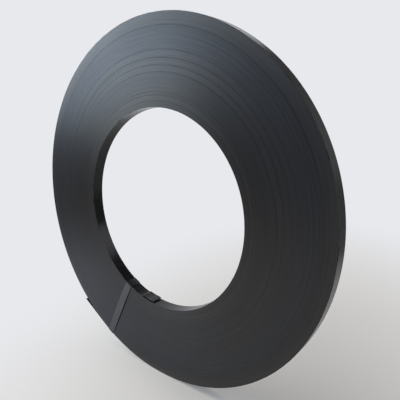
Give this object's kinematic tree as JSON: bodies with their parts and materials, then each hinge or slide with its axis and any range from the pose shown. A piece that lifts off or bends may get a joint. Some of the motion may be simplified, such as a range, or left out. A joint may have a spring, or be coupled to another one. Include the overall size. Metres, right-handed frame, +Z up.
{
  "type": "steel strapping coil",
  "caption": "Ribbon-wound coil of blue-black steel strapping with an open bore, its turns showing on the ends, its free ends loose and a narrow tie round the section.",
  "frame": {"origin": "centre of the bore, midway along the innermost turn", "axes": "+Y along the coil's axis towards its back end, -Y out of the front end, +Z up; the coil stands on its rim"},
  "size_m": [0.5493, 0.0228, 0.5497],
  "materials": {
    "blued_strap": "satin",
    "grey_tie": "satin"
  },
  "bodies": {
    "root": {"strap_coil": "blued_strap", "tie_strap": "grey_tie"}
  },
  "joints": []
}
